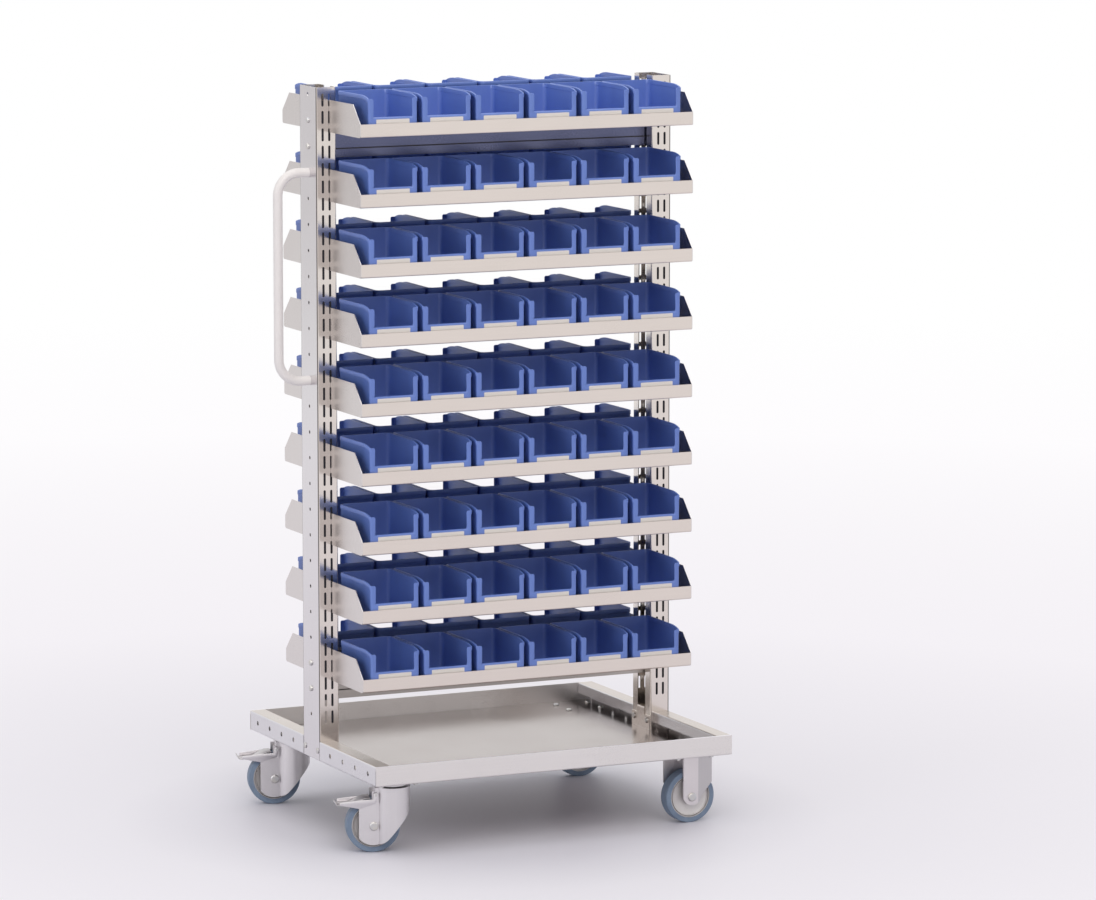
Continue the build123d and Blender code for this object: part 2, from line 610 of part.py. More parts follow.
# Brake pedal: two tapering cheeks outside the fork, joined behind the wheel by a floor with a curled tip.
def brake_pedal():
    wide, sheet, end = PEDAL_HALF_WIDTH, PEDAL_SHEET, -PEDAL_CHEEK_END
    top, curl = PEDAL_FLOOR + PEDAL_SHEET, PEDAL_CURL - PEDAL_TIP
    outline = [(-PEDAL_START, top), (curl, top), (-PEDAL_TIP, top + PEDAL_CURL_RISE)]
    pedal = along_y(bent_sheet(outline, sheet, PEDAL_BEND), -wide, wide)
    (x, z), eye = PEDAL_PIVOT, PEDAL_EYE
    (rim_low, rim_high), (keel_low, keel_high) = PEDAL_CHEEK_RIM, PEDAL_CHEEK_KEEL
    side = [(end, rim_low), (end, PEDAL_FLOOR), (-FORK_END, keel_low), (x, keel_high)]
    side += [(x + eye, z), (x + eye, z + eye), (x - eye, z + eye), (x - eye, rim_high)]
    cheek_face = make_face(Polyline(*side, close=True))
    for face in (-wide, wide - sheet):
        pedal += along_y(cheek_face, face, face + sheet)
    return pedal - rod(PEDAL_PIN_RADIUS + RUNNING_CLEARANCE, (x, -FORK_RADIUS, z), (x, FORK_RADIUS, z))


def write_frame():
    write("front_rail", front_rail())
    write("rear_rail", mirror(front_rail(), Plane.XZ))
    write("floor_pan", floor_pan())
    ends = (("end_beam", left_end_beam()), ("upright", left_upright()), ("upright_foot", left_foot()))
    for name, piece in ends:
        write("left_" + name, piece)
        write("right_" + name, turned(piece))
    write("top_cross_panel", cross_panel(TOP_PANEL_HOLES))
    write("bottom_cross_panel", cross_panel(BOTTOM_PANEL_HOLES))
    write("push_handle", push_handle())
    write("panel_bolts", *panel_bolts())
    write("handle_bolts", *handle_bolts())
    feet = left_foot_bolts()
    write("foot_bolts", *feet, *[turned(piece) for piece in feet])
    grip = FLOOR_TOP - PLATE_BOTTOM
    places = [(x, y, FLOOR_TOP) for x, y in caster_bolt_places()]
    write("caster_bolts", *[bolt(place, (0, 0, -1), grip) for place in places])


def write_shelves_and_bins():
    shelves = [front_shelf(level) for level in range(SHELF_ROWS)]
    write("front_shelves", *shelves)
    write("rear_shelves", *[turned(shelf) for shelf in shelves])
    one_bin = open_bin()
    for level in range(SHELF_ROWS):
        row = [place * one_bin for place in bin_places(level)]
        write(f"front_bins_{level + 1}", *row)
        write(f"rear_bins_{level + 1}", *[turned(piece) for piece in row])


def write_casters():
    core, tyre, bush = wheel_core(), wheel_tyre(), wheel_bush()
    fixed_axles = []
    for side, y in (("front", -1), ("rear", 1)):
        fixed = Pos(FIXED_PLACE[0], y * FIXED_PLACE[1], 0)
        write(f"{side}_fixed_bracket", fixed * fixed_bracket())
        fixed_axles.append(fixed * Pos(0, 0, WHEEL_RADIUS) * axle(FORK_HALF_WIDTH))
        pivot = Pos(SWIVEL_PLACE[0], y * SWIVEL_PLACE[1], 0)
        write(f"{side}_swivel_head", pivot * swivel_head())
        swivel = pivot * Rot(0, 0, -SWIVEL_REST)
        write(f"{side}_swivel_fork", swivel * swivel_fork())
        write(f"{side}_swivel_axle", *[swivel * piece for piece in swivel_axle()])
        write(f"{side}_brake_pedal", swivel * brake_pedal())
        trailing = swivel * Pos(-TRAIL, 0, WHEEL_RADIUS)
        for kind, centre in (("fixed", fixed * Pos(0, 0, WHEEL_RADIUS)), ("swivel", trailing)):
            write(f"{side}_{kind}_wheel_core", centre * core)
            write(f"{side}_{kind}_tyre", centre * tyre)
            write(f"{side}_{kind}_bush", centre * bush)
    write("fixed_axles", *fixed_axles)


write_frame()
write_shelves_and_bins()
write_casters()
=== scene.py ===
import json
import math

import bmesh
import bpy
from mathutils import Matrix, Vector


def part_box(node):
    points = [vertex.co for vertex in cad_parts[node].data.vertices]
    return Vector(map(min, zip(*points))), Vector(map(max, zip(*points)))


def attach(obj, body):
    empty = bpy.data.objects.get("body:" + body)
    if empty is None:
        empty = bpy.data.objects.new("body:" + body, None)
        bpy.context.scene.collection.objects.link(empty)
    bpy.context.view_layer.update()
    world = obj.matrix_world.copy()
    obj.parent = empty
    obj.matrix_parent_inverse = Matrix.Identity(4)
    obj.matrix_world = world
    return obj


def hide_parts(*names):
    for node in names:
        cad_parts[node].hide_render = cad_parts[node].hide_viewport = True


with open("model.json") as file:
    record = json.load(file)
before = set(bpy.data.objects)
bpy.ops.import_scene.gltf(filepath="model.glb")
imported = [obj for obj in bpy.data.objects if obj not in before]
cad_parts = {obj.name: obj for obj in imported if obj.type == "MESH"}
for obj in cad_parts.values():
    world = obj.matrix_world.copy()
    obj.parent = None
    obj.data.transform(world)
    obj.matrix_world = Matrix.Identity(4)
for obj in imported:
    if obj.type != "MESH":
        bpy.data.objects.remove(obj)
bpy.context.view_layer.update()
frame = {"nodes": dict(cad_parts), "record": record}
scene = bpy.context.scene
nodes = frame["nodes"]
joints = {joint["name"]: joint for joint in frame["record"]["behaviour"]["joints"]}


class Wire:
    # one output of a node, so that shader maths reads as plain sums
    def __init__(self, finish, socket):
        self.finish = finish
        self.socket = socket

    def maths(self, operation, left, right):
        return self.finish.node("ShaderNodeMath", {"operation": operation}, {0: left, 1: right})

    def __add__(self, other):
        return self.maths("ADD", self, other)

    def __radd__(self, other):
        return self.maths("ADD", other, self)

    def __mul__(self, other):
        return self.maths("MULTIPLY", self, other)

    def __rmul__(self, other):
        return self.maths("MULTIPLY", other, self)


class Finish:
    # a material, or the room's light, while it is made: its nodes and the coordinates they read
    def __init__(self, owner):
        owner.use_nodes = True
        self.owner = owner
        self.nodes = owner.node_tree.nodes
        self.links = owner.node_tree.links

    def feed(self, socket, value):
        if isinstance(value, Wire):
            self.links.new(value.socket, socket)
        else:
            socket.default_value = value

    def node(self, kind, settings, sockets, output=0):
        made = self.nodes.new(kind)
        for key, value in settings.items():
            setattr(made, key, value)
        for key, value in sockets.items():
            self.feed(made.inputs[key], value)
        return Wire(self, made.outputs[output])

    def place(self, stretch=(1, 1, 1)):
        spot = self.node("ShaderNodeTexCoord", {}, {}, "Object")
        return self.node("ShaderNodeMapping", {}, {"Vector": spot, "Scale": stretch})

    def noise(self, size, stretch=(1, 1, 1), detail=3.0, rough=0.55):
        # size is the width of one patch in metres
        sockets = {"Vector": self.place(stretch), "Scale": 1 / size, "Detail": detail, "Roughness": rough}
        return self.node("ShaderNodeTexNoise", {}, sockets)

    def span(self, value, low, high, start=0.0, end=1.0):
        sockets = {"Value": value, "From Min": low, "From Max": high, "To Min": start, "To Max": end}
        return self.node("ShaderNodeMapRange", {"clamp": True}, sockets)

    def blend(self, share, first, second):
        colours = [(*c, 1) if isinstance(c, tuple) and len(c) == 3 else c for c in (first, second)]
        return self.node("ShaderNodeMix", {"data_type": "RGBA"}, {0: share, 6: colours[0], 7: colours[1]}, 2)

    def bump(self, height, depth):
        return self.node("ShaderNodeBump", {}, {"Height": height, "Distance": depth, "Strength": 1.0})

    def seen(self):
        # 1 for what the camera sees, straight or in a mirror, and 0 for what only lights the object
        rays = self.nodes.new("ShaderNodeLightPath")
        camera, glossy, through = (Wire(self, rays.outputs[name]) for name in
                                   ("Is Camera Ray", "Is Glossy Ray", "Is Transmission Ray"))
        return camera + glossy + through

    def wear(self, **sockets):
        # plain words for the sockets of the shader
        names = {"colour": "Base Color", "rough": "Roughness", "metal": "Metallic", "normal": "Normal",
                 "gloss": "Specular IOR Level"}
        shader = self.nodes["Principled BSDF"]
        for word, value in sockets.items():
            value = (*value, 1) if isinstance(value, tuple) and len(value) == 3 else value
            self.feed(shader.inputs[names[word]], value)
        return self.owner


def axleFrame(jointName):
    # local y along the axle, local z up
    joint = joints[jointName]
    along = Vector(joint["axis"]).normalized()
    turn = Matrix.Rotation(-math.atan2(along.x, along.y), 4, "Z")
    return Matrix.Translation(joint["pos_m"]) @ turn


def newFinish(name):
    return Finish(bpy.data.materials.new(name))


# parts of a noise's range that are spread over the whole step from dark to light
wideSpan, closeSpan = (0.3, 0.7), (0.35, 0.65)

# satin sheet metal: a fine grain, faint rolling streaks along one axis and slow clouds
rackMetal = {"light": (0.745, 0.675, 0.63), "dark": (0.70, 0.632, 0.59), "metal": 1.0, "rough": (0.25, 0.36),
             "streak": 0.004, "streakLength": 30, "cloud": 0.16, "grain": 0.0009, "grainDepth": 0.000012,
             "shares": (0.25, 0.35, 0.4), "shade": 0.06}


# depth of the skin that takes an outer face's painted light, and of the soft step between two painted colours
paintedLightSkin = {"upright": 0.001, "rim": (0.0012, 0.0004), "cheek": 0.0017, "crease": 0.0004}


def uprightPaintedLight(finish, web, flange, inside):
    # painted light: the outer face of the web, the outer faces of the two flanges and all that faces into the
    # channel each take the colour of the light that falls on them
    left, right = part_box("left_upright"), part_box("right_upright")
    x, y = (finish.node("ShaderNodeSeparateXYZ", {}, {0: finish.place()}, axis) for axis in "XY")
    skin = paintedLightSkin["upright"]
    middle, half = (left[0].x + right[1].x) / 2, (right[1].x - left[0].x) / 2 - skin
    across = finish.node("ShaderNodeMath", {"operation": "COMPARE"}, {0: x, 1: middle, 2: half})
    deep = finish.node("ShaderNodeMath", {"operation": "COMPARE"}, {0: y, 1: 0.0, 2: left[1].y - skin})
    return finish.blend(deep, flange, finish.blend(across, web, inside))


def rimPaintedLight(finish, side, top):
    # painted light: the top of the tray's rim takes its own colour apart from the faces below it
    z = finish.node("ShaderNodeSeparateXYZ", {}, {0: finish.place()}, "Z")
    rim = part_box("front_rail")[1].z
    start, end = (rim - deep for deep in paintedLightSkin["rim"])
    return finish.blend(finish.span(z, start, end), side, top)


def shelfPaintedLight(finish, lip, cheek):
    # painted light: the two end plates of the shelves, which face sideways, take their own colour apart from
    # the lips and floors between them
    low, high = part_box("front_shelves")
    x = finish.node("ShaderNodeSeparateXYZ", {}, {0: finish.place()}, "X")
    middle, reach = (low.x + high.x) / 2, (high.x - low.x) / 2 - paintedLightSkin["cheek"]
    between = finish.node("ShaderNodeMath", {"operation": "COMPARE"}, {0: x, 1: middle, 2: reach})
    return finish.blend(between, cheek, lip)


def wingPaintedShade(finish, leg, wing):
    # painted shade: the wing of each fixed caster's leg, folded back along a crease beside the axle on the
    # real caster, is only painted darker beyond that line
    creasePlace, soft = 0.0165, paintedLightSkin["crease"]
    crease = axleFrame("front_fixed_wheel_spin").translation.x + creasePlace
    x = finish.node("ShaderNodeSeparateXYZ", {}, {0: finish.place()}, "X")
    return finish.blend(finish.span(x, crease - soft, crease + soft), leg, wing)


def sheetMetal(name, along, tones=None, **changes):
    look = {**rackMetal, **changes}
    finish = newFinish(name)
    stretch = [1 / look["streakLength"] if axis == along else 1 for axis in "xyz"]
    streak = finish.noise(look["streak"], stretch, detail=2)
    cloud = finish.noise(look["cloud"], detail=2)
    grain = finish.noise(look["grain"], detail=2)
    streakShare, cloudShare, grainShare = look["shares"]
    tone = finish.span(streak * streakShare + cloud * cloudShare + grain * grainShare, *closeSpan)
    rough = finish.span(cloud * 0.5 + grain * 0.5, *closeSpan, *look["rough"])
    light, dark = look["light"], look["dark"]
    # painted light: a face takes the colour of the light that falls on it, and the dark end of the random
    # variation follows it
    if tones:
        light = tones(finish, light, *look["others"])
        dark = finish.blend(look["shade"], light, (0, 0, 0))
    return finish.wear(colour=finish.blend(tone, dark, light), rough=rough, metal=look["metal"],
                       normal=finish.bump(grain, look["grainDepth"]))


# off-white powder coat with its orange peel
handlePaint = {"light": (0.88, 0.845, 0.83), "dark": (0.84, 0.805, 0.79), "peel": 0.0016,
               "peelDepth": 0.00006, "cloud": 0.09, "rough": (0.36, 0.48)}


def powderCoat(look):
    finish = newFinish("handle_coat")
    peel = finish.noise(look["peel"], detail=2)
    cloud = finish.noise(look["cloud"])
    rough = finish.span(cloud, *wideSpan, *look["rough"])
    return finish.wear(colour=finish.blend(cloud, look["dark"], look["light"]), rough=rough,
                       normal=finish.bump(peel, look["peelDepth"]))


# moulded blue of the bins, with a fine eroded texture and soft flow marks
binBlue = {"light": (0.12, 0.215, 0.61), "dark": (0.105, 0.19, 0.56), "texture": 0.0006, "depth": 0.00003,
           "gloss": 1.0, "flow": 0.05, "flowStretch": (1, 1, 0.25), "rough": (0.42, 0.56),
           "textureShare": 0.3, "roughSpan": (0.4, 0.9)}


def mouldedPlastic(look):
    finish = newFinish("bin_plastic")
    texture = finish.noise(look["texture"], detail=2)
    flow = finish.noise(look["flow"], look["flowStretch"], detail=2)
    rough = finish.span(flow + texture * look["textureShare"], *look["roughSpan"], *look["rough"])
    return finish.wear(colour=finish.blend(finish.span(flow, *wideSpan), look["dark"], look["light"]),
                       rough=rough, gloss=look["gloss"], normal=finish.bump(texture, look["depth"]))


# card of the bin labels, with faint fibres
cardLook = {"light": (0.85, 0.807, 0.765), "dark": (0.79, 0.745, 0.70), "fibre": 0.0012,
            "fibreStretch": (0.3, 1, 1), "rough": 0.62, "depth": 0.00002}


def labelCard(look):
    finish = newFinish("label_card")
    fibre = finish.noise(look["fibre"], look["fibreStretch"], detail=4)
    return finish.wear(colour=finish.blend(fibre, look["dark"], look["light"]), rough=look["rough"],
                       normal=finish.bump(fibre, look["depth"]))


# blue-grey tyres, a little dusty
tyreLook = {"light": (0.228, 0.30, 0.405), "dark": (0.168, 0.224, 0.322), "speck": 0.0009,
            "dust": 0.03, "shares": (0.7, 0.3), "rough": (0.48, 0.66), "depth": 0.00004}


def tyreRubber(look):
    finish = newFinish("tyre_rubber")
    speck = finish.noise(look["speck"], detail=3)
    dust = finish.noise(look["dust"], detail=3)
    dustShare, speckShare = look["shares"]
    tone = finish.span(dust * dustShare + speck * speckShare, *closeSpan)
    return finish.wear(colour=finish.blend(tone, look["dark"], look["light"]),
                       rough=finish.span(dust, *wideSpan, *look["rough"]),
                       normal=finish.bump(speck, look["depth"]))


# pressed steel discs of the wheels, turned on their own axle
discLook = {"light": (0.68, 0.655, 0.65), "dark": (0.62, 0.595, 0.59), "rough": (0.36, 0.48), "grain": 0.0008,
            "cloud": 0.02, "metal": 0.5, "depth": 0.00001}


def discSteel(look):
    finish = newFinish("disc_steel")
    grain = finish.noise(look["grain"], detail=2)
    cloud = finish.noise(look["cloud"])
    return finish.wear(colour=finish.blend(cloud, look["dark"], look["light"]), metal=look["metal"],
                       rough=finish.span(cloud * 0.5 + grain * 0.5, *wideSpan, *look["rough"]),
                       normal=finish.bump(grain, look["depth"]))


# painted shade: dark strips in the folds and grooves of the sheet metal and behind the slots, for the shade
# there
seamLook = {"light": (0.16, 0.145, 0.135), "dark": (0.10, 0.09, 0.085), "patch": 0.004,
            "patchStretch": (1, 1, 0.1), "gloss": 0.2, "rough": (0.55, 0.75)}
slotLook = {**seamLook, "light": (0.03, 0.03, 0.04), "dark": (0.018, 0.018, 0.024)}


def seamShade(name, look):
    finish = newFinish(name)
    patch = finish.noise(look["patch"], look["patchStretch"])
    return finish.wear(colour=finish.blend(patch, look["dark"], look["light"]), gloss=look["gloss"],
                       rough=finish.span(patch, *wideSpan, *look["rough"]))


# bright zinc of the bolts, axles and screws, with the tint of its passivation
zincLook = {"cool": (0.57, 0.575, 0.60), "warm": (0.64, 0.61, 0.565), "rough": (0.28, 0.43),
            "tint": 0.012, "scratch": 0.0011, "scratchStretch": (1, 0.08, 1), "metal": 0.9, "depth": 0.00002}


def brightZinc(look):
    finish = newFinish("bright_zinc")
    tint = finish.noise(look["tint"], detail=3)
    scratch = finish.noise(look["scratch"], look["scratchStretch"], detail=2)
    return finish.wear(colour=finish.blend(finish.span(tint, *wideSpan), look["cool"], look["warm"]),
                       rough=finish.span(tint * 0.5 + scratch * 0.5, *wideSpan, *look["rough"]),
                       metal=look["metal"], normal=finish.bump(scratch, look["depth"]))


finishes = {
    # painted light: the webs take a cool colour for the side light, the flanges a warm one for the front
    # light, and the faces inside the channel a lighter one
    "uprightMetal": sheetMetal("upright_metal", "z", uprightPaintedLight, light=(0.72, 0.70, 0.718),
                               others=((0.74, 0.68, 0.64), (0.85, 0.80, 0.75)), rough=(0.14, 0.22)),
    # painted light: the end beams take a cool colour for the side light, with painted shade on the top of
    # their rim
    "beamMetal": sheetMetal("beam_metal", "y", rimPaintedLight, light=(0.735, 0.725, 0.75),
                            others=((0.64, 0.58, 0.54),)),
    # painted light: the rails take a warm colour for the front light, with a painted highlight on the top of
    # their rim
    "railMetal": sheetMetal("rail_metal", "x", rimPaintedLight, light=(0.765, 0.735, 0.725),
                            others=((0.93, 0.91, 0.93),)),
    # painted light: the shelf cheeks, which face sideways, take a darker and cooler colour than the lips
    "shelfMetal": sheetMetal("shelf_metal", "x", shelfPaintedLight, others=((0.70, 0.665, 0.655),)),
    "footMetal": sheetMetal("foot_metal", "z"),
    "topPanelMetal": sheetMetal("top_panel_metal", "x", light=(0.148, 0.158, 0.265), dark=(0.13, 0.14, 0.238),
                                metal=0.7, rough=(0.2, 0.3)),
    "lowPanelMetal": sheetMetal("low_panel_metal", "x", light=(0.44, 0.405, 0.385), dark=(0.40, 0.37, 0.35)),
    "panMetal": sheetMetal("pan_metal", "x", light=(0.43, 0.375, 0.358), dark=(0.395, 0.345, 0.33),
                           rough=(0.15, 0.24)),
    "casterMetal": sheetMetal("caster_metal", "z", light=(0.705, 0.68, 0.697), dark=(0.66, 0.635, 0.652),
                              cloud=0.05, rough=(0.32, 0.42)),
    # painted shade: a darker copy of the caster metal for the pedal's floor, for the shade inside the pedal's
    # channel
    "pedalPaintedShade": sheetMetal("pedal_painted_shade", "z", light=(0.56, 0.54, 0.55), dark=(0.52, 0.50, 0.51),
                             cloud=0.05, rough=(0.32, 0.42)),
    # painted shade: the second colour darkens the wings of the fixed casters' legs
    "bracketMetal": sheetMetal("bracket_metal", "z", wingPaintedShade, light=(0.70, 0.66, 0.675),
                               others=((0.53, 0.51, 0.525),), cloud=0.05, rough=(0.32, 0.42)),
    "handleCoat": powderCoat(handlePaint),
    "binPlastic": mouldedPlastic(binBlue),
    "labelCard": labelCard(cardLook),
    "tyreRubber": tyreRubber(tyreLook),
    "discSteel": discSteel(discLook),
    "zinc": brightZinc(zincLook),
    "seamShade": seamShade("seam_shade", seamLook),
    "slotShade": seamShade("slot_shade", slotLook),
}
print("finishes made:", len(finishes))


def dress(finishName, *names):
    for name in names:
        slots = nodes[name].data.materials
        slots.clear()
        slots.append(finishes[finishName])


dress("uprightMetal", "left_upright", "right_upright")
dress("footMetal", "left_upright_foot", "right_upright_foot")
dress("beamMetal", "left_end_beam", "right_end_beam")
dress("railMetal", "front_rail", "rear_rail")
dress("panMetal", "floor_pan")
dress("topPanelMetal", "top_cross_panel")
dress("lowPanelMetal", "bottom_cross_panel")
dress("shelfMetal", "front_shelves", "rear_shelves")
dress("handleCoat", "push_handle")
dress("zinc", "panel_bolts", "handle_bolts", "foot_bolts", "caster_bolts", "fixed_axles")
for side in ("front", "rear"):
    dress("bracketMetal", side + "_fixed_bracket")
    dress("casterMetal", side + "_swivel_head", side + "_swivel_fork", side + "_brake_pedal")
    dress("zinc", side + "_swivel_axle")
    for kind in ("fixed", "swivel"):
        dress("discSteel", side + "_" + kind + "_wheel_core", side + "_" + kind + "_bush")
        dress("tyreRubber", side + "_" + kind + "_tyre")
print("metal and wheels dressed")


def settle(name, bm, body, finishName, slot, *replaced, smooth=38):
    mesh = bpy.data.meshes.new(name)
    bm.to_mesh(mesh)
    bm.free()
    mesh.materials.append(finishes[finishName])
    mesh.shade_smooth()
    mesh.set_sharp_from_angle(angle=math.radians(smooth))
    piece = bpy.data.objects.new(name, mesh)
    scene.collection.objects.link(piece)
    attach(piece, body)
    if replaced:
        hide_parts(*replaced)
    return piece


# least share of an axis in the normal of a face that looks along it, and the room for rounding, in metres
facing, tiny = 0.9, 1e-5


def cut(bm, point, normal, faces=None):
    faces = bm.faces[:] if faces is None else faces
    parts = {part for face in faces for part in (face, *face.edges, *face.verts)}
    bmesh.ops.bisect_plane(bm, geom=list(parts), dist=1e-6, plane_co=point, plane_no=normal)


def roundEdges(bm, edges, radius, segments, affect="EDGES"):
    bmesh.ops.bevel(bm, geom=list(edges), offset=radius, segments=segments, profile=0.5, affect=affect,
                    material=-1, clamp_overlap=True)


# one bin, front towards -y and foot at z 0: a moulded shell with pillars, a turned-in front rim and a thick
# top rim
binForm = {"frontWidth": 0.1215, "backWidth": 0.1285, "wall": 0.0022, "front": -0.2275, "back": -0.053,
           "height": 0.0935, "pillarDrop": 0.0075, "shoulder": 0.042, "shoulderCuts": 7, "pillarWidth": 0.013,
           "pillarRound": 0.004, "frontWall": 0.044, "ledge": 0.0055, "ledgeRound": 0.0046,
           "frontRound": 0.004, "backRound": 0.012, "footRound": 0.0045, "rim": 0.010, "rimOut": 0.0011,
           "rimIn": 0.0008, "rimSlope": 0.0005, "labelWidth": 0.083, "labelTop": 0.0394, "labelFoot": 0.0074,
           "labelRecess": 0.0007, "labelSlope": 0.0003, "labelReach": 0.001, "edge": 0.0005, "sharp": 1.1,
           "bandStart": {1: 0.02, -1: 0.15}, "perRow": 6}


def shoulderDrop(form, y):
    run = max(0.0, form["front"] + form["shoulder"] - y)
    radius = (form["shoulder"] ** 2 + form["pillarDrop"] ** 2) / (2 * form["pillarDrop"])
    return radius - math.sqrt(radius ** 2 - run ** 2)


def makeBin(form):
    bm = bmesh.new()
    bmesh.ops.create_cube(bm, size=1.0)
    middle = (form["front"] + form["back"]) / 2
    depth, height = form["back"] - form["front"], form["height"]
    bmesh.ops.scale(bm, vec=(form["backWidth"], depth, height), verts=bm.verts)
    bmesh.ops.translate(bm, vec=(0, middle, height / 2), verts=bm.verts)
    frontVerts = [v for v in bm.verts if v.co.y < middle]
    bmesh.ops.scale(bm, vec=(form["frontWidth"] / form["backWidth"], 1, 1), verts=frontVerts)
    bmesh.ops.delete(bm, geom=[f for f in bm.faces if f.normal.z > facing], context="FACES_ONLY")
    upright = [e for e in bm.edges if abs(e.verts[0].co.z - e.verts[1].co.z) > height / 2]
    roundEdges(bm, [e for e in upright if e.verts[0].co.y > middle], form["backRound"], 5)
    upright = [e for e in bm.edges if abs(e.verts[0].co.z - e.verts[1].co.z) > height / 2]
    corners = [e for e in upright if e.verts[0].co.y < form["front"] + tiny]
    roundEdges(bm, corners, form["frontRound"], 3)
    foot = min(bm.faces, key=lambda f: f.calc_center_median().z)
    roundEdges(bm, foot.edges, form["footRound"], 3)

    # front opening between the pillars, then the top edge that curves down to them
    gap = form["frontWidth"] / 2 - form["pillarWidth"]
    cut(bm, (0, 0, height - form["rim"]), (0, 0, 1))
    cut(bm, (0, 0, form["frontWall"]), (0, 0, 1), [f for f in bm.faces if f.normal.y < -facing])
    for x in (-gap, gap):
        cut(bm, (x, 0, 0), (1, 0, 0), [f for f in bm.faces if f.normal.y < -facing])
    for step in range(1, form["shoulderCuts"] + 1):
        y = form["front"] + form["shoulder"] * step / form["shoulderCuts"]
        cut(bm, (0, y, 0), (0, 1, 0), [f for f in bm.faces if abs(f.normal.x) > facing])
    opening = [f for f in bm.faces if f.normal.y < -facing and f.calc_center_median().z > form["frontWall"]
               and abs(f.calc_center_median().x) < gap]
    bmesh.ops.delete(bm, geom=opening, context="FACES")
    for vert in [v for v in bm.verts if v.co.z > height - form["rim"] - tiny]:
        vert.co.z -= shoulderDrop(form, vert.co.y)
    tops = [v for v in bm.verts if abs(abs(v.co.x) - gap) < tiny and v.co.y < form["front"] + tiny
            and v.co.z > height - form["pillarDrop"] - 1e-4]
    roundEdges(bm, tops, form["pillarRound"], 4, "VERTICES")

    # turned-in rim of the front wall, then the wall's thickness
    ledge = [e for e in bm.edges if e.is_boundary
             and all(abs(v.co.z - form["frontWall"]) < tiny for v in e.verts)]
    turned = bmesh.ops.extrude_edge_only(bm, edges=ledge)["geom"]
    turnedVerts = [part for part in turned if isinstance(part, bmesh.types.BMVert)]
    bmesh.ops.translate(bm, vec=(0, form["ledge"], 0), verts=turnedVerts)
    roundEdges(bm, [e for e in ledge if e.is_valid], form["ledgeRound"], 3)
    bmesh.ops.recalc_face_normals(bm, faces=bm.faces)
    bmesh.ops.solidify(bm, geom=bm.faces[:], thickness=form["wall"])

    # thick band round the top, outside and inside
    def onBand(face, outwards):
        spot = face.calc_center_median()
        away = Vector((spot.x, spot.y - middle, 0))
        high = spot.z > height - form["rim"] - shoulderDrop(form, spot.y)
        outer = face.normal.dot(away) * outwards > 0
        behind = spot.y > form["front"] + form["shoulder"] * form["bandStart"][outwards]
        return high and outer and behind and abs(face.normal.z) < 0.3 and abs(face.normal.y + 1) > 0.3

    for outwards, depth in ((1, form["rimOut"]), (-1, form["rimIn"])):
        band = [f for f in bm.faces if onBand(f, outwards)]
        bmesh.ops.inset_region(bm, faces=band, thickness=form["rimSlope"], depth=depth, use_even_offset=True)

    # shallow pocket for the label
    def fronts():
        nearest = form["front"] + form["labelReach"]
        return [f for f in bm.faces if f.normal.y < -facing and f.calc_center_median().y < nearest]

    for x in (-form["labelWidth"] / 2, form["labelWidth"] / 2):
        cut(bm, (x, 0, 0), (1, 0, 0), fronts())
    for z in (form["labelFoot"], form["labelTop"]):
        cut(bm, (0, 0, z), (0, 0, 1), fronts())
    pocket = [f for f in fronts() if abs(f.calc_center_median().x) < form["labelWidth"] / 2
              and form["labelFoot"] < f.calc_center_median().z < form["labelTop"]]
    bmesh.ops.inset_region(bm, faces=pocket, thickness=form["labelSlope"], depth=-form["labelRecess"],
                           use_even_offset=True)
    sharp = [e for e in bm.edges if e.is_manifold and e.calc_face_angle() > form["sharp"]]
    roundEdges(bm, sharp, form["edge"], 1)
    return bm


# card in the pocket of a bin
cardForm = {"width": 0.0824, "height": 0.0312, "thick": 0.0004, "corner": 0.0015}


def makeCard(form):
    bm = bmesh.new()
    bmesh.ops.create_cube(bm, size=1.0)
    bmesh.ops.scale(bm, vec=(form["width"], form["thick"], form["height"]), verts=bm.verts)
    corners = [e for e in bm.edges if abs(e.verts[0].co.y - e.verts[1].co.y) > form["thick"] / 2]
    roundEdges(bm, corners, form["corner"], 2)
    pocketFloor = binForm["front"] + binForm["labelRecess"]
    middle = (binForm["labelTop"] + binForm["labelFoot"]) / 2
    bmesh.ops.translate(bm, vec=(0, pocketFloor - form["thick"] / 2, middle), verts=bm.verts)
    return bm


def rowOf(shape, places):
    # the same shape once at each place
    single = bpy.data.meshes.new("single")
    shape.to_mesh(single)
    row = bmesh.new()
    for place in places:
        before = len(row.verts)
        row.from_mesh(single)
        row.verts.ensure_lookup_table()
        bmesh.ops.transform(row, matrix=place, verts=row.verts[before:])
    bpy.data.meshes.remove(single)
    return row


def binPlaces(node, turn):
    low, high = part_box(node)
    pitch = (high.x - low.x - binForm["backWidth"]) / (binForm["perRow"] - 1)
    spin = Matrix.Rotation(turn, 4, "Z")
    first = low.x + binForm["backWidth"] / 2
    return [Matrix.Translation((first + pitch * i, 0, low.z)) @ spin for i in range(binForm["perRow"])]


oneBin, oneCard = makeBin(binForm), makeCard(cardForm)
print("bin:", len(oneBin.faces), "faces")
rows = sorted(name for name in nodes if "_bins_" in name)
for node in rows:
    side, level = node.split("_bins_")
    places = binPlaces(node, 0 if side == "front" else math.pi)
    body = side + "_bin_row_" + level
    settle(side + "_bin_set_" + level, rowOf(oneBin, places), body, "binPlastic", "bin_plastic", node)
    settle(side + "_label_set_" + level, rowOf(oneCard, places), body, "labelCard", None)
print("bins and labels:", len(rows), "rows")


def addBox(bm, low, high, place=None):
    made = bmesh.ops.create_cube(bm, size=1.0)["verts"]
    low, high = Vector(low), Vector(high)
    bmesh.ops.scale(bm, vec=high - low, verts=made)
    bmesh.ops.translate(bm, vec=(low + high) / 2, verts=made)
    if place:
        bmesh.ops.transform(bm, matrix=place, verts=made)


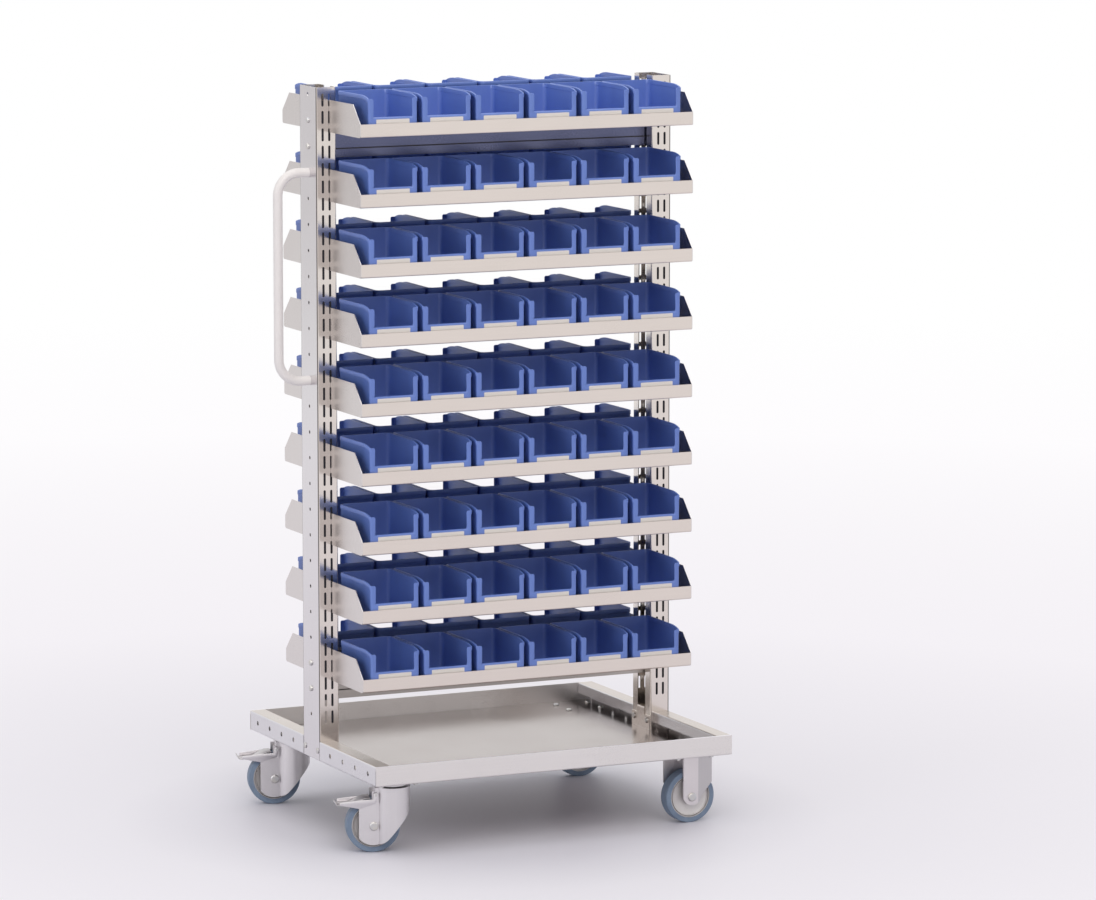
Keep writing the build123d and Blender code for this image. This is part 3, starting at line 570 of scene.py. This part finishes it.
# painted shade: a thin dark strip along both edges of each upright's web, for the shade at the fold, which
# leans towards the web on the left upright and towards the flange on the right one
foldShadeForm = {"width": 0.0022, "thick": 0.0004, "bend": 0.0035, "proud": 0.00015, "inset": 0.0005,
            "lean": {-1: 45, 1: 72}}


def makeFoldShades(form):
    bm = bmesh.new()
    half = Vector((form["width"] / 2, form["thick"], 0))
    for name, side in (("left_upright", -1), ("right_upright", 1)):
        low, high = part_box(name)
        web = low.x if side < 0 else high.x
        for y, way in ((low.y, -1), (high.y, 1)):
            lean = math.radians(form["lean"][side])
            out = Vector((side * math.cos(lean), way * math.sin(lean), 0))
            middle = Vector((web - side * form["bend"], y - way * form["bend"], 0))
            spot = middle + out * (form["bend"] + form["proud"])
            turn = Matrix.Rotation(math.atan2(out.y, out.x) - math.pi / 2, 4, "Z")
            base, top = low.z + form["inset"], high.z - form["inset"]
            addBox(bm, (-half.x, -half.y, base), (half.x, 0, top), Matrix.Translation(spot) @ turn)
    return bm


settle("upright_fold_shades", makeFoldShades(foldShadeForm), "frame", "seamShade", None)

# shade behind the slots, the strips that back it, and the plate of the left foot that shows in the lowest
# slots: each flange has its upright, the side of the web and the way that it faces
slotForm = {"columns": (0.0165, 0.033), "width": 0.008, "thick": 0.0003, "sheet": 0.002, "top": 1.71,
            "low": 0.225, "footTop": 0.312,
            "flanges": (("left_upright", -1, -1), ("left_upright", -1, 1), ("right_upright", 1, -1))}


def makeSlotBacks(form, layer):
    bm = bmesh.new()
    start = form["sheet"] + (form["thick"] if layer == "strip" else 0)
    for name, side, way in form["flanges"]:
        low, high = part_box(name)
        web, face = low.x if side < 0 else high.x, low.y if way < 0 else high.y
        ys = sorted(face - way * deep for deep in (start, start + form["thick"]))
        for column in form["columns"]:
            x, half = web - side * column, form["width"] / 2
            foot = form["footTop"] if side < 0 and column == form["columns"][0] else form["low"]
            base, top = {"shade": (foot, form["top"]), "plate": (form["low"], foot),
                         "strip": (form["low"], form["top"])}[layer]
            if base < top:
                addBox(bm, (x - half, ys[0], base), (x + half, ys[1], top))
    return bm


settle("slot_shades", makeSlotBacks(slotForm, "shade"), "frame", "slotShade", None)
settle("slot_plates", makeSlotBacks(slotForm, "plate"), "frame", "lowPanelMetal", None)
settle("slot_strips", makeSlotBacks(slotForm, "strip"), "frame", "footMetal", None)

# painted shade: a dark strip in the pressed grooves of the cross panels, for the shadow in them
grooveShadeForm = {"edge": 0.0205, "width": 0.0027, "deep": 0.0005, "thick": 0.0004, "inset": 0.001}


def makeGrooveShades(form):
    bm = bmesh.new()
    for name in ("top_cross_panel", "bottom_cross_panel"):
        low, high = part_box(name)
        y = low.y + form["deep"]
        for z in (low.z + form["edge"], high.z - form["edge"]):
            start, end = low.x + form["inset"], high.x - form["inset"]
            half = form["width"] / 2
            addBox(bm, (start, y, z - half), (end, y + form["thick"], z + half))
    return bm


settle("panel_groove_shades", makeGrooveShades(grooveShadeForm), "frame", "seamShade", None)

# round screw heads in the two middle holes at each end of the tray
screwForm = {"radius": 0.0068, "height": 0.0022, "round": 0.0014, "sharp": 1.0, "segments": 28,
             "across": 0.037}


def makeScrews(form):
    bm = bmesh.new()
    rimLow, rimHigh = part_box("front_rail")
    for name, side in (("left_upright", -1), ("right_upright", 1)):
        low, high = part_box(name)
        web = low.x if side < 0 else high.x
        for y in (-form["across"], form["across"]):
            made = bmesh.ops.create_cone(bm, cap_ends=True, segments=form["segments"], radius1=form["radius"],
                                         radius2=form["radius"], depth=form["height"])["verts"]
            spot = Vector((web + side * form["height"] / 2, y, (rimLow.z + rimHigh.z) / 2))
            turn = Matrix.Translation(spot) @ Matrix.Rotation(math.pi / 2, 4, "Y")
            bmesh.ops.transform(bm, matrix=turn, verts=made)
    rims = [e for e in bm.edges if e.is_manifold and e.calc_face_angle() > form["sharp"]]
    roundEdges(bm, rims, form["round"], 3)
    return bm


settle("end_screws", makeScrews(screwForm), "frame", "zinc", "zinc")
print("fold lines, slot backs, grooves and end screws made")

# wheel discs: a hub, a pressed web and a rim ring behind a narrow groove, as radius and half width in mm
discForm = {"steps": 80, "profile": ((9.0, 19.4), (14.2, 19.4), (15.0, 18.6), (15.5, 11.6), (16.6, 10.6),
                                     (41.6, 10.6), (43.8, 11.6), (44.8, 13.4), (45.7, 13.9), (46.2, 13.4),
                                     (46.3, 8.0), (48.6, 8.0), (48.7, 14.6), (49.1, 15.0), (50.0, 15.0),
                                     (50.45, 14.6))}


def makeDisc(form, place):
    bm = bmesh.new()
    half = [(radius / 1000, y / 1000) for radius, y in form["profile"]]
    loop = [bm.verts.new((radius, y, 0)) for radius, y in half]
    loop += [bm.verts.new((radius, -y, 0)) for radius, y in reversed(half)]
    edges = [bm.edges.new((a, b)) for a, b in zip(loop, loop[1:] + loop[:1])]
    bmesh.ops.spin(bm, geom=loop + edges, cent=(0, 0, 0), axis=(0, 1, 0), angle=2 * math.pi,
                   steps=form["steps"], use_merge=True)
    bmesh.ops.remove_doubles(bm, verts=bm.verts, dist=1e-6)
    bmesh.ops.recalc_face_normals(bm, faces=bm.faces)
    bmesh.ops.transform(bm, matrix=place, verts=bm.verts)
    return bm


for side in ("front", "rear"):
    for kind in ("fixed", "swivel"):
        wheel = side + "_" + kind + "_wheel"
        disc = makeDisc(discForm, axleFrame(wheel + "_spin"))
        settle(wheel + "_disc", disc, wheel, "discSteel", "wheel_core", wheel + "_core", smooth=30)
print("wheel discs made")

# brake pedal in mm, in the caster's own frame with x along the trail: the x and z of its two tapering cheeks,
# and of a floor with a tongue over the tyre and a curled tip, with its share of the width
pedalForm = {"cheek": ((-124.5, 120.0), (-124.5, 113.5), (-80.0, 104.5), (-41.0, 116.0), (-35.0, 135.0),
                       (-35.0, 138.0), (-38.0, 141.0), (-44.0, 141.0), (-47.0, 138.0), (-47.0, 126.0),
                       (-66.0, 125.6), (-95.0, 122.8)),
             "floor": ((-53.0, 128.6, 0.90), (-66.0, 128.2, 0.90), (-80.0, 123.0, 0.91), (-93.0, 116.2, 0.92),
                       (-100.0, 113.5, 0.97), (-126.0, 113.5, 0.97), (-129.6, 114.4, 0.97),
                       (-131.8, 116.6, 0.97), (-132.4, 119.8, 0.97)),
             "near": (-47.0, 27.4), "far": (-132.4, 23.0), "sheet": 0.0019, "edge": 0.0007,
             "sharp": 0.7}


def makePedal(form, place, cheeks):
    bm = bmesh.new()
    (nearX, nearWidth), (farX, farWidth) = form["near"], form["far"]

    def corner(x, z, way):
        share = min(1, max(0, (x - nearX) / (farX - nearX)))
        return bm.verts.new((x / 1000, way * (nearWidth + (farWidth - nearWidth) * share) / 1000, z / 1000))

    if cheeks:
        for way in (-1, 1):
            points = form["cheek"] if way > 0 else form["cheek"][::-1]
            bm.faces.new([corner(x, z, way) for x, z in points])
    else:
        pairs = [(corner(x, z, -share), corner(x, z, share)) for x, z, share in form["floor"]]
        for (a, b), (c, d) in zip(pairs, pairs[1:]):
            bm.faces.new((a, b, d, c))
    bm.normal_update()
    bmesh.ops.solidify(bm, geom=bm.faces[:], thickness=form["sheet"])
    rims = [e for e in bm.edges if e.is_manifold and e.calc_face_angle() > form["sharp"]]
    roundEdges(bm, rims, form["edge"], 2)
    bmesh.ops.transform(bm, matrix=place, verts=bm.verts)
    return bm


for side in ("front", "rear"):
    wheel = axleFrame(side + "_swivel_wheel_spin")
    pin = Vector(joints[side + "_swivel_turn"]["pos_m"])
    place = Matrix.Translation((pin.x, pin.y, 0)) @ wheel.to_3x3().to_4x4()
    cheeks = makePedal(pedalForm, place, True)
    settle(side + "_pedal_channel", cheeks, side + "_pedal", "casterMetal", "caster_metal",
           side + "_brake_pedal")
    # painted shade: the pedal's floor takes the darker copy of the caster metal
    floor = makePedal(pedalForm, place, False)
    settle(side + "_pedal_floor", floor, side + "_pedal", "pedalPaintedShade", "caster_metal")
print("pedals made")

# pale floor that turns to plain white in steps of distance, keeps the shadow near the object and dims where
# only the metal mirrors it
floorLook = {"size": 160.0, "rough": 0.5, "gloss": 0.25, "colour": (0.785, 0.77, 0.84),
             "glow": (0.975, 0.945, 0.98),
             "steps": ((0.5, 0.85, 0.40), (0.85, 2.6, 0.40), (2.6, 6.5, 0.20)), "tintEnds": (2.6, 10.0),
             "dimStart": -3.2, "dimEnd": -5.6, "dim": (0.78, 0.76, 0.76)}


def makeFloor(look):
    bm = bmesh.new()
    bmesh.ops.create_grid(bm, x_segments=1, y_segments=1, size=look["size"] / 2)
    mesh = bpy.data.meshes.new("floor")
    bm.to_mesh(mesh)
    bm.free()
    floor = bpy.data.objects.new("floor", mesh)
    scene.collection.objects.link(floor)
    finish = newFinish("floor")
    paint = finish.wear(colour=look["colour"], rough=look["rough"], gloss=look["gloss"])
    away = finish.node("ShaderNodeVectorMath", {"operation": "LENGTH"}, {0: finish.place()}, "Value")
    far = sum(finish.span(away, start, end, 0, share) for start, end, share in look["steps"])
    tint = finish.blend(finish.span(away, *look["tintEnds"]), look["glow"], (1, 1, 1))
    x = finish.node("ShaderNodeSeparateXYZ", {}, {0: finish.place()}, "X")
    tint = finish.blend(finish.span(x, look["dimEnd"], look["dimStart"]), look["dim"], tint)
    glow = finish.node("ShaderNodeEmission", {}, {"Color": tint, "Strength": 1.0})
    plain = Wire(finish, finish.nodes["Principled BSDF"].outputs[0])
    share = far * finish.span(finish.seen(), 0, 1)
    mixed = finish.node("ShaderNodeMixShader", {}, {0: share, 1: plain, 2: glow})
    finish.feed(finish.nodes["Material Output"].inputs["Surface"], mixed)
    mesh.materials.append(paint)


makeFloor(floorLook)

# soft studio light: a white room that lights the object gently, and three large panels
roomLook = {"colour": (1.0, 0.995, 1.0), "strength": 0.42}
lampLooks = {
    "frontPanel": {"place": (-1.4, -5.2, 5.4), "aim": (0, 0, 0.8), "size": 4.2, "power": 155,
                   "colour": (1, 0.955, 0.91)},
    "leftPanel": {"place": (-6.5, -1.5, 3.2), "aim": (0, 0, 0.9), "size": 3.5, "power": 70,
                  "colour": (0.97, 0.98, 1)},
    "topPanel": {"place": (0.4, 0.6, 6.0), "aim": (0, 0, 0), "size": 7.0, "power": 125, "colour": (1, 1, 1)},
}


def makeLights():
    scene.world = bpy.data.worlds.new("room")
    room = Finish(scene.world)
    colour = (*roomLook["colour"], 1)
    light = room.node("ShaderNodeBackground", {}, {"Color": colour, "Strength": roomLook["strength"]})
    white = room.node("ShaderNodeBackground", {}, {"Color": (1, 1, 1, 1), "Strength": 1.0})
    mixed = room.node("ShaderNodeMixShader", {}, {0: room.seen(), 1: light, 2: white})
    room.feed(room.nodes["World Output"].inputs["Surface"], mixed)
    for name, look in lampLooks.items():
        lamp = bpy.data.lights.new(name, "AREA")
        lamp.energy, lamp.size, lamp.color = look["power"], look["size"], look["colour"]
        holder = bpy.data.objects.new(name, lamp)
        holder.location = look["place"]
        towards = Vector(look["aim"]) - Vector(look["place"])
        holder.rotation_euler = towards.to_track_quat("-Z", "Y").to_euler()
        scene.collection.objects.link(holder)


makeLights()

# the photograph's viewpoint: focal length in pixels of the 1096 pixel wide picture
cameraLook = {"place": (-5.36932, -11.90715, 2.75126), "yaw": 25.0579, "pitch": 8.1950, "focal": 5609.33,
              "pictureWidth": 1096, "sensor": 36.0, "reach": 200}


def makeCamera(look):
    lens = bpy.data.cameras.new("camera")
    lens.sensor_width = look["sensor"]
    lens.lens = look["sensor"] * look["focal"] / look["pictureWidth"]
    lens.clip_end = look["reach"]
    camera = bpy.data.objects.new("camera", lens)
    camera.location = look["place"]
    camera.rotation_euler = (math.radians(90 - look["pitch"]), 0, -math.radians(look["yaw"]))
    scene.collection.objects.link(camera)
    scene.camera = camera


makeCamera(cameraLook)
scene.view_settings.view_transform = "Standard"
print("floor, light and camera set")
